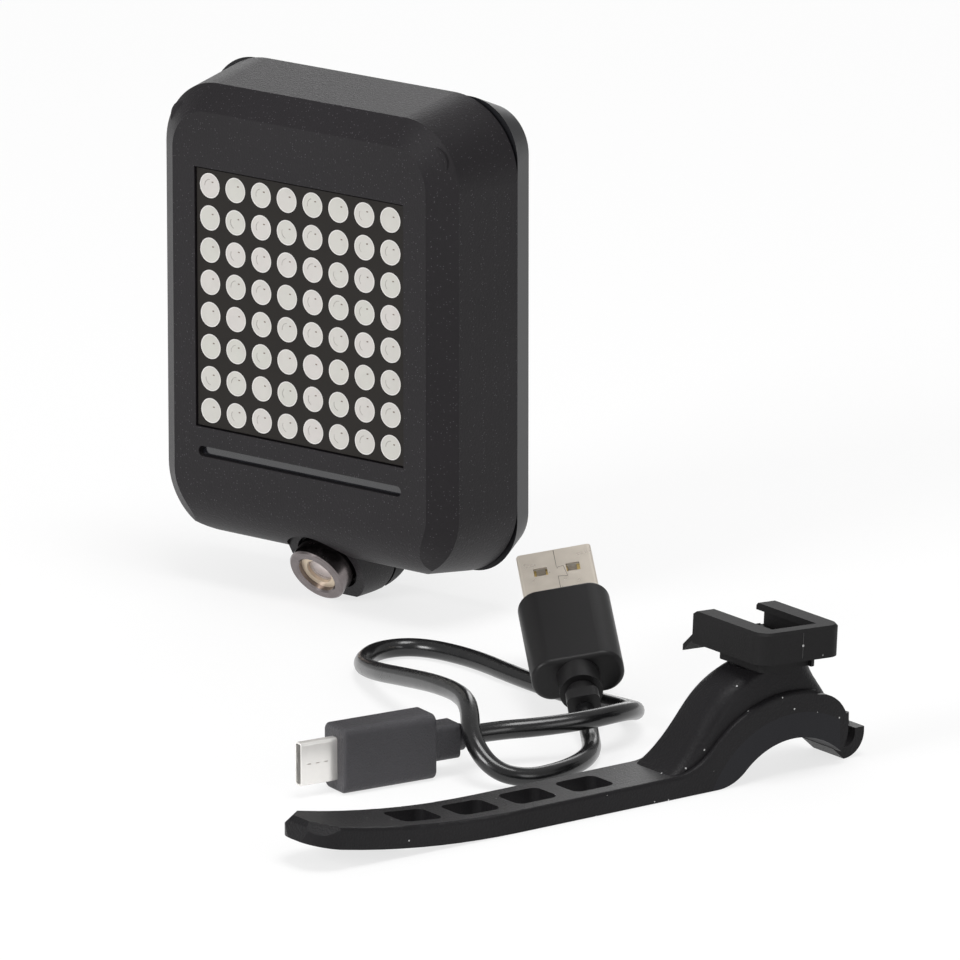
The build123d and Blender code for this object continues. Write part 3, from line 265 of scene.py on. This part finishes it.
def make_die_tree():
    """A small dark die under the face of each LED dot."""
    group, tree, given, made = new_geometry_tree(
        "led dies", dot_grid_inputs + [("Die Size", "NodeSocketVector"),
                                       ("Die Place", "NodeSocketVector"), ("Seed", "NodeSocketInt")])
    die = tree.add("GeometryNodeMeshCube")
    tree.join(given.outputs["Die Size"], die.inputs["Size"])
    moved = tree.add("GeometryNodeTransform")
    tree.join(die.outputs["Mesh"], moved.inputs["Geometry"])
    tree.join(given.outputs["Die Place"], moved.inputs["Translation"])
    turn = tree.add("FunctionNodeRandomValue", data_type="FLOAT_VECTOR")
    turn.inputs["Min"].default_value = (0, -0.12, 0)
    turn.inputs["Max"].default_value = (0, 0.12, 0)
    tree.join(given.outputs["Seed"], turn.inputs["Seed"])
    placed = tree.add("GeometryNodeInstanceOnPoints")
    tree.join(add_dot_grid(tree, given), placed.inputs["Points"])
    tree.join(moved.outputs["Geometry"], placed.inputs["Instance"])
    tree.join(turn.outputs["Value"], placed.inputs["Rotation"])
    finish_geometry(tree, given, made, placed.outputs["Instances"])
    return group


def make_cup_tree():
    """The edge of the reflector cup that shows through some of the LED dots, turned at random."""
    group, tree, given, made = new_geometry_tree(
        "led cups", dot_grid_inputs + [("Cup Radius", "NodeSocketFloat"),
                                       ("Line Radius", "NodeSocketFloat"),
                                       ("Share", "NodeSocketFloat"), ("Seed", "NodeSocketInt")])
    arc = tree.add("GeometryNodeCurveArc", mode="RADIUS")
    arc.inputs["Resolution"].default_value = 8
    arc.inputs["Start Angle"].default_value = radians(130)
    arc.inputs["Sweep Angle"].default_value = radians(95)
    tree.join(given.outputs["Cup Radius"], arc.inputs["Radius"])
    line = tree.add("GeometryNodeCurvePrimitiveCircle", mode="RADIUS")
    line.inputs["Resolution"].default_value = 4
    tree.join(given.outputs["Line Radius"], line.inputs["Radius"])
    tube = tree.add("GeometryNodeCurveToMesh")
    tube.inputs["Fill Caps"].default_value = True
    tree.join(arc.outputs["Curve"], tube.inputs["Curve"])
    tree.join(line.outputs["Curve"], tube.inputs["Profile Curve"])
    upright = tree.add("GeometryNodeTransform")
    upright.inputs["Rotation"].default_value = (pi / 2, 0, 0)
    tree.join(tube.outputs["Mesh"], upright.inputs["Geometry"])
    turn = tree.add("FunctionNodeRandomValue", data_type="FLOAT_VECTOR")
    turn.inputs["Min"].default_value = (0, -0.8, 0)
    turn.inputs["Max"].default_value = (0, 0.8, 0)
    tree.join(given.outputs["Seed"], turn.inputs["Seed"])
    chosen = tree.add("FunctionNodeRandomValue", data_type="BOOLEAN")
    tree.join(given.outputs["Share"], chosen.inputs["Probability"])
    tree.join(given.outputs["Seed"], chosen.inputs["Seed"])
    placed = tree.add("GeometryNodeInstanceOnPoints")
    tree.join(add_dot_grid(tree, given), placed.inputs["Points"])
    tree.join(chosen.outputs["Value"], placed.inputs["Selection"])
    tree.join(upright.outputs["Geometry"], placed.inputs["Instance"])
    tree.join(turn.outputs["Value"], placed.inputs["Rotation"])
    finish_geometry(tree, given, made, placed.outputs["Instances"])
    return group


def grow(name, group, settings, body):
    """Runs a geometry tree with its inputs set, and keeps the result as a plain mesh on a body."""
    item = bpy.data.objects.new(name, bpy.data.meshes.new(name))
    scene.collection.objects.link(item)
    modifier = item.modifiers.new(name, "NODES")
    modifier.node_group = group
    for socket in group.interface.items_tree:
        if socket.in_out == "INPUT":
            modifier[socket.identifier] = settings[socket.name]
    grown = item.evaluated_get(bpy.context.evaluated_depsgraph_get())
    mesh = bpy.data.meshes.new_from_object(grown)
    item.modifiers.clear()
    item.data = mesh
    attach(item, body)
    return item


# How many mottles a moulded or a smooth finish has to the metre
grain_mottle = 60.0
smooth_mottle = 500.0
grain_group = make_grain_group()
speck_group = make_speck_group()
dot_group = make_dot_group()


def new_finish(name, colour, roughness, metallic=0.0, coat=0.0, coat_roughness=0.1, specular=0.5):
    """A plain finish; returns the material, its tree and its shader."""
    material = bpy.data.materials.new(name)
    material.use_nodes = True
    shader = material.node_tree.nodes["Principled BSDF"]
    shader.inputs["Base Color"].default_value = (*colour, 1.0)
    shader.inputs["Roughness"].default_value = roughness
    shader.inputs["Metallic"].default_value = metallic
    shader.inputs["Coat Weight"].default_value = coat
    shader.inputs["Coat Roughness"].default_value = coat_roughness
    shader.inputs["Specular IOR Level"].default_value = specular
    return material, Tree(material.node_tree), shader


def object_place(tree):
    """The place on the object, so that patterns stay with each piece."""
    return tree.add("ShaderNodeTexCoord").outputs["Object"]


def new_noise(tree, scale, detail=2.0):
    """A noise on the object's own coordinates."""
    noise = tree.add("ShaderNodeTexNoise")
    noise.inputs["Scale"].default_value = scale
    noise.inputs["Detail"].default_value = detail
    tree.join(object_place(tree), noise.inputs["Vector"])
    return noise.outputs["Fac"]


def use_group(tree, group, **settings):
    """One of the shared shader groups, placed on the object with its inputs set."""
    node = tree.add("ShaderNodeGroup", node_tree=group)
    for name, value in settings.items():
        node.inputs[name.replace("_", " ")].default_value = value
    tree.join(object_place(tree), node.inputs["Vector"])
    return node


def add_grain(tree, shader, size, height):
    """Puts moulded grain on a finish; returns the mottle for its colour."""
    grain = use_group(tree, grain_group, Grain_Size=size, Mottle_Size=grain_mottle)
    bump = tree.add("ShaderNodeBump")
    bump.inputs["Strength"].default_value = 1.0
    bump.inputs["Distance"].default_value = height
    tree.join(grain.outputs["Height"], bump.inputs["Height"])
    tree.join(bump.outputs["Normal"], shader.inputs["Normal"])
    return grain.outputs["Mottle"]


def blend_colour(tree, amount, dark, light, target):
    """Mixes two colours by a mask or mottle into a socket."""
    mix = tree.add("ShaderNodeMix", data_type="RGBA")
    tree.join(amount, mix.inputs["Factor"])
    if isinstance(dark, tuple):
        mix.inputs["A"].default_value = (*dark, 1.0)
    else:
        tree.join(dark, mix.inputs["A"])
    mix.inputs["B"].default_value = (*light, 1.0)
    tree.join(mix.outputs["Result"], target)
    return mix.outputs["Result"]


def moulded_black(name, dark, light, roughness, grain, height, specks=None, specular=0.26):
    """Black plastic or rubber with moulded grain, a mottle and, where given, pale specks."""
    material, tree, shader = new_finish(name, dark, roughness, specular=specular)
    mottle = add_grain(tree, shader, grain, height)
    colour = blend_colour(tree, mottle, dark, light, shader.inputs["Base Color"])
    if specks:
        spacing, size, share, tint = specks
        # Pale specks: settled dirt on the rubber and bracket, painted glints on the case
        dust_and_glints = use_group(tree, speck_group, Spacing=spacing, Speck_Size=size, Share=share)
        blend_colour(tree, dust_and_glints.outputs["Specks"], colour, tint, shader.inputs["Base Color"])
    return material


def make_case_finish():
    # The case's pale specks are painted glints: the sparkle of its grain catching the light
    return moulded_black("case black", (0.0095, 0.0082, 0.0096), (0.0145, 0.0125, 0.0147), 0.46, 2600.0,
                         0.00007, (2600.0, 0.22, 0.3, (0.055, 0.05, 0.057)))


def make_cover_finish():
    return moulded_black("cover black", (0.007, 0.007, 0.009), (0.011, 0.011, 0.013), 0.42, 2600.0,
                         0.00002)


def make_module_finish():
    return moulded_black("module black", (0.0095, 0.0075, 0.006), (0.0135, 0.011, 0.009), 0.6, 1500.0,
                         0.00001)


def make_rubber_finish():
    return moulded_black("strap rubber", (0.009, 0.0085, 0.0093), (0.0155, 0.0147, 0.016), 0.38, 2600.0,
                         0.00009, (420.0, 0.06, 0.8, (0.5, 0.5, 0.5)), 0.14)


def make_pad_finish():
    return moulded_black("pad rubber", (0.006, 0.006, 0.0085), (0.010, 0.010, 0.013), 0.55, 3200.0,
                         0.00003)


def make_bracket_finish():
    return moulded_black("bracket charcoal", (0.0085, 0.0082, 0.0085), (0.0135, 0.013, 0.0135), 0.6,
                         3000.0, 0.00004, (600.0, 0.08, 0.12, (0.2, 0.2, 0.2)), 0.16)


def make_micro_finish():
    return moulded_black("micro plug black", (0.042, 0.041, 0.045), (0.066, 0.064, 0.07), 0.36, 3000.0,
                         0.00016)


def make_grip_finish():
    return moulded_black("grip black", (0.0085, 0.0082, 0.0085), (0.0125, 0.012, 0.0125), 0.4, 2500.0,
                         0.00001)


def make_dot_finish():
    """Milky resin dots, each with its own tint, cloudy towards the middle, with a paler rim that is a
    painted highlight for the light on its bevel.
    """
    material, tree, shader = new_finish("dot milky", (0.6, 0.58, 0.555), 0.32, coat=0.15)
    face = use_group(tree, dot_group, Pitch=dot_pitch, Middle=panel_height, Radius=dot_radius)
    tint = blend_colour(tree, face.outputs["Tint"], (0.56, 0.53, 0.51), (0.52, 0.52, 0.475),
                        shader.inputs["Base Color"])
    haze = tree.math("MULTIPLY", new_noise(tree, 700.0), 0.35)
    cloudy = blend_colour(tree, haze, tint, (0.44, 0.42, 0.4), shader.inputs["Base Color"])
    # Painted highlight: the pale rim colour stands in for the light caught by the rim's bevel
    blend_colour(tree, face.outputs["Rim Highlight"], cloudy, (0.68, 0.66, 0.64), shader.inputs["Base Color"])
    return material


def make_laser_finish():
    """Black chrome with fine turning marks that vary its gloss and tone."""
    material, tree, shader = new_finish("black chrome", (0.2, 0.18, 0.18), 0.2, metallic=1.0)
    marks = new_noise(tree, 800.0, 3.0)
    tree.join(tree.math("MULTIPLY_ADD", marks, 0.2, 0.14), shader.inputs["Roughness"])
    blend_colour(tree, marks, (0.15, 0.13, 0.13), (0.28, 0.25, 0.25), shader.inputs["Base Color"])
    return material


def make_lens_finish():
    """Pinkish glass with a slight haze that comes and goes."""
    material, tree, shader = new_finish("lens glass", (0.93, 0.84, 0.82), 0.05)
    haze = new_noise(tree, 600.0)
    tree.join(tree.math("MULTIPLY", haze, 0.12), shader.inputs["Roughness"])
    blend_colour(tree, haze, (0.85, 0.74, 0.72), (0.97, 0.9, 0.88), shader.inputs["Base Color"])
    shader.inputs["Transmission Weight"].default_value = 0.7
    shader.inputs["IOR"].default_value = 1.5
    return material


def mottled(name, colour, roughness, spread=0.3, **more):
    """A smooth finish whose colour and gloss vary slightly over the surface."""
    material, tree, shader = new_finish(name, colour, roughness, **more)
    mottle = use_group(tree, grain_group, Mottle_Size=smooth_mottle).outputs["Mottle"]
    dark = tuple(value * (1 - spread) for value in colour)
    light = tuple(min(1.0, value * (1 + spread)) for value in colour)
    blend_colour(tree, mottle, dark, light, shader.inputs["Base Color"])
    tree.join(tree.math("MULTIPLY_ADD", mottle, 0.16, roughness - 0.08), shader.inputs["Roughness"])
    return material


case_finish = make_case_finish()
cover_finish = make_cover_finish()
rubber_button = moulded_black("button rubber", (0.011, 0.011, 0.011), (0.016, 0.016, 0.016), 0.6,
                              2600.0, 0.00003)
bracket_finish = make_bracket_finish()
grip_finish = make_grip_finish()
micro_finish = make_micro_finish()
cord_finish = mottled("cord black", (0.007, 0.007, 0.0075), 0.25, coat=0.25, coat_roughness=0.15)
plug_steel = mottled("plug steel", (0.76, 0.69, 0.6), 0.3, 0.06, metallic=0.6)
micro_steel = mottled("micro plug steel", (0.93, 0.91, 0.88), 0.24, 0.05, metallic=0.6)
gold = mottled("contact gold", (0.83, 0.62, 0.26), 0.3, metallic=1.0)
brass = mottled("brass", (0.7, 0.52, 0.26), 0.35, metallic=1.0)
tinned = mottled("tinned steel", (0.66, 0.66, 0.67), 0.35, metallic=1.0)
screw_steel = mottled("screw steel", (0.5, 0.5, 0.52), 0.35, metallic=1.0)
dark_moulding = mottled("dark moulding", (0.02, 0.02, 0.02), 0.45)
board_finish = mottled("board green", (0.02, 0.11, 0.05), 0.4, coat=0.3)
finishes = {
    "front_shell": case_finish,
    "rear_cover": cover_finish,
    "case_seal": mottled("seal black", (0.006, 0.006, 0.006), 0.8),
    "case_screws": screw_steel,
    "led_matrix_body": make_module_finish(),
    "led_dots": make_dot_finish(),
    "led_matrix_pins": tinned,
    "indicator_bar": mottled("bar gloss", (0.01, 0.01, 0.013), 0.12, coat=1.0, coat_roughness=0.05),
    "status_leds": mottled("status resin", (0.8, 0.78, 0.6), 0.3),
    "main_board": board_finish,
    "board_chips": dark_moulding,
    "battery_cell": mottled("battery sleeve", (0.06, 0.12, 0.35), 0.35),
    "battery_pad": mottled("foam grey", (0.25, 0.25, 0.25), 0.9),
    "tact_switch": dark_moulding,
    "switch_plunger": mottled("plunger brown", (0.2, 0.09, 0.04), 0.4),
    "power_button": rubber_button,
    "usb_socket": tinned,
    "usb_flap": rubber_button,
    "flap_anchor": rubber_button,
    "laser_tube": make_laser_finish(),
    "laser_ring": mottled("cream ring", (0.72, 0.6, 0.46), 0.3, metallic=0.4),
    "laser_lens": make_lens_finish(),
    "laser_diode": brass,
    "laser_seal": mottled("seal ring", (0.008, 0.008, 0.008), 0.7),
    "laser_board": board_finish,
    "rubber_strap": make_rubber_finish(),
    "saddle_pad": make_pad_finish(),
    "bracket": bracket_finish,
    "release_latch": bracket_finish,
    "swivel_screw": screw_steel,
    "swivel_insert": brass,
    "usb_a_shell": plug_steel,
    "usb_a_insulator": mottled("insulator white", (0.9, 0.88, 0.85), 0.35, 0.1),
    "usb_a_contacts": gold,
    "usb_a_grip": grip_finish,
    "usb_a_relief": grip_finish,
    "micro_shell": micro_steel,
    "micro_tongue": dark_moulding,
    "micro_contacts": gold,
    "micro_grip": micro_finish,
    "micro_relief": micro_finish,
}
for name, finish in finishes.items():
    nodes[name].data.materials.clear()
    nodes[name].data.materials.append(finish)


def make_cord():
    """The cord as one smooth curve through its route, with a round section."""
    curve = bpy.data.curves.new("cord", "CURVE")
    curve.dimensions = "3D"
    curve.bevel_depth = cord_radius * mm
    curve.bevel_resolution = 6
    curve.resolution_u = 16
    curve.use_fill_caps = True
    spline = curve.splines.new("NURBS")
    spline.points.add(len(cord_route) - 1)
    for point, place in zip(spline.points, cord_route):
        point.co = (*(value * mm for value in place), 1.0)
    spline.order_u = 3
    spline.use_endpoint_u = True
    curve.materials.append(cord_finish)
    cord = bpy.data.objects.new("charging_cord", curve)
    scene.collection.objects.link(cord)
    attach(cord, "base")
    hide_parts("charge_cord")
    return cord


make_cord()


def make_dot_marks():
    """The dies and cup edges seen in the LED dots' faces."""
    middle = (0.0, dots_low.y, panel_height)
    die_finish = mottled("die brown", (0.16, 0.12, 0.1), 0.5)
    cup_finish = mottled("cup grey", (0.3, 0.28, 0.26), 0.45)
    grow("led_dies", make_die_tree(), {
        "Middle": middle, "Pitch": dot_pitch, "Finish": die_finish,
        "Die Size": (0.34 * mm, 0.06 * mm, 0.2 * mm),
        "Die Place": (0.3 * dot_radius, 0.0, 0.3 * dot_radius), "Seed": 3}, "base")
    grow("led_cup_edges", make_cup_tree(), {
        "Middle": middle, "Pitch": dot_pitch, "Finish": cup_finish, "Cup Radius": 0.5 * dot_radius,
        "Line Radius": 0.045 * mm, "Share": 0.75, "Seed": 8}, "base")


make_dot_marks()


def make_line(name, points, radius, finish, body):
    """A fine raised line through points, such as a seam or a moulding's parting line."""
    curve = bpy.data.curves.new(name, "CURVE")
    curve.dimensions = "3D"
    curve.bevel_depth = radius * mm
    curve.bevel_resolution = 1
    curve.use_fill_caps = True
    spline = curve.splines.new("POLY")
    spline.points.add(len(points) - 1)
    for point, place in zip(spline.points, points):
        point.co = (*place, 1.0)
    curve.materials.append(finish)
    item = bpy.data.objects.new(name, curve)
    scene.collection.objects.link(item)
    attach(item, body)


def make_shell_seam():
    """The folded seam of the USB-A shell, with its dovetail, on its broad side."""
    flat = Vector((-plug_a_forward.y, plug_a_forward.x, 0)).normalized()
    across = flat * cos(radians(plug_a_roll)) + plug_a_forward.cross(flat) * sin(radians(plug_a_roll))
    upward = plug_a_forward.cross(across)
    seam = [(0, 12.3), (0, 7.6), (-1.5, 7.9), (-1.1, 4.9), (0, 5.1), (0, 0.2)]
    top = plug_a_tip + upward * shell_a_height / 2 * mm
    points = [top + across * x * mm - plug_a_forward * back * mm for x, back in seam]
    seam_finish = mottled("seam shadow", (0.16, 0.14, 0.12), 0.5)
    make_line("usb_a_seam", points, 0.06, seam_finish, "base")


def make_micro_marks():
    """The row of small pressed marks on the near broad side of the micro-USB shell."""
    outward = Vector((0, 0, 1)).cross(micro_forward)
    face = micro_tip + outward * shell_b_height / 2 * mm
    mark_finish = mottled("mark shadow", (0.3, 0.28, 0.26), 0.5)
    for number, back in enumerate((1.4, 2.9, 4.4)):
        ends = [face - micro_forward * (back + half) * mm for half in (-0.3, 0.3)]
        make_line(f"micro_shell_mark_{number + 1}", ends, 0.07, mark_finish, "base")


def make_bracket_marks():
    """The parting line down the bracket's end wall, and the gate mark on it."""
    end_face = bracket_foot - bracket_along * bracket_length / 2 * mm
    line = [end_face + bracket_up * height * mm for height in (0.5, bracket_height - 0.5)]
    line_finish = mottled("parting line", (0.03, 0.03, 0.03), 0.4)
    make_line("bracket_parting_line", line, 0.05, line_finish, "bracket_body")
    gate = end_face + bracket_up * 0.5 * bracket_height * mm
    mark = [gate - bracket_along * depth * mm for depth in (-0.1, 0.06)]
    gate_finish = mottled("gate mark", (0.4, 0.4, 0.4), 0.5)
    make_line("bracket_gate_mark", mark, 0.2, gate_finish, "bracket_body")


make_shell_seam()
make_micro_marks()
make_bracket_marks()


def make_floor():
    """A white floor that keeps the object's soft shadow."""
    half, glow_share = 3.0, 0.74
    mesh = bpy.data.meshes.new("floor")
    corners = [(-half, -half, 0), (half, -half, 0), (half, half, 0), (-half, half, 0)]
    mesh.from_pydata(corners, [], [(0, 1, 2, 3)])
    floor = bpy.data.objects.new("floor", mesh)
    scene.collection.objects.link(floor)
    floor.location.z = -0.0001
    material = bpy.data.materials.new("floor white")
    material.use_nodes = True
    tree = Tree(material.node_tree)
    shader = material.node_tree.nodes["Principled BSDF"]
    shader.inputs["Base Color"].default_value = (0.93, 0.93, 0.93, 1.0)
    shader.inputs["Roughness"].default_value = 0.9
    shader.inputs["Specular IOR Level"].default_value = 0.1
    glow = tree.add("ShaderNodeEmission")
    glow.inputs["Strength"].default_value = 1.0
    light_path = tree.add("ShaderNodeLightPath")
    seen = tree.math("MAXIMUM", light_path.outputs["Is Camera Ray"], light_path.outputs["Is Glossy Ray"])
    seen = tree.math("MAXIMUM", seen, light_path.outputs["Is Transmission Ray"])
    mix = tree.add("ShaderNodeMixShader")
    tree.join(tree.math("MULTIPLY", seen, glow_share), mix.inputs["Fac"])
    tree.join(shader.outputs["BSDF"], mix.inputs[1])
    tree.join(glow.outputs["Emission"], mix.inputs[2])
    tree.join(mix.outputs["Shader"], material.node_tree.nodes["Material Output"].inputs["Surface"])
    mesh.materials.append(material)


def make_world():
    """White where the camera or glass sees it, and a plain level of soft light otherwise."""
    world = bpy.data.worlds.new("studio")
    world.use_nodes = True
    scene.world = world
    tree = Tree(world.node_tree)
    background = world.node_tree.nodes["Background"]
    background.inputs["Color"].default_value = (1.0, 1.0, 1.0, 1.0)
    light_path = tree.add("ShaderNodeLightPath")
    camera_ray, through_ray = light_path.outputs["Is Camera Ray"], light_path.outputs["Is Transmission Ray"]
    seen = tree.math("MAXIMUM", camera_ray, through_ray)
    soft_light, white = 0.4, 1.0
    strength = tree.math("MULTIPLY_ADD", seen, white - soft_light, soft_light)
    tree.join(strength, background.inputs["Strength"])


def make_lamp(name, place, power, size):
    """A soft square lamp that looks at the middle of the set."""
    lamp = bpy.data.lights.new(name, "AREA")
    lamp.energy = power
    lamp.size = size
    item = bpy.data.objects.new(name, lamp)
    scene.collection.objects.link(item)
    item.location = place
    item.rotation_euler = (view_target - Vector(place)).to_track_quat("-Z", "Y").to_euler()


def make_camera():
    camera = bpy.data.cameras.new("camera")
    camera.lens = view_lens
    camera.sensor_width = 36.0
    camera.clip_start = 0.01
    item = bpy.data.objects.new("camera", camera)
    scene.collection.objects.link(item)
    azimuth, elevation = radians(view_azimuth), radians(view_elevation)
    back = Vector((sin(azimuth) * cos(elevation), -cos(azimuth) * cos(elevation), sin(elevation)))
    item.location = view_target + back * view_distance
    item.rotation_euler = (-back).to_track_quat("-Z", "Y").to_euler()
    scene.camera = item


make_floor()
make_world()
make_lamp("key", (-0.2, -1.2, 0.55), 9.0, 0.5)
make_lamp("top", (0.25, -0.1, 1.1), 6.0, 0.5)
make_lamp("side", (1.0, -0.2, 0.35), 1.2, 0.4)
make_lamp("rear", (-0.6, 0.85, 0.42), 2.2, 0.6)
make_camera()
scene.view_settings.view_transform = "Standard"
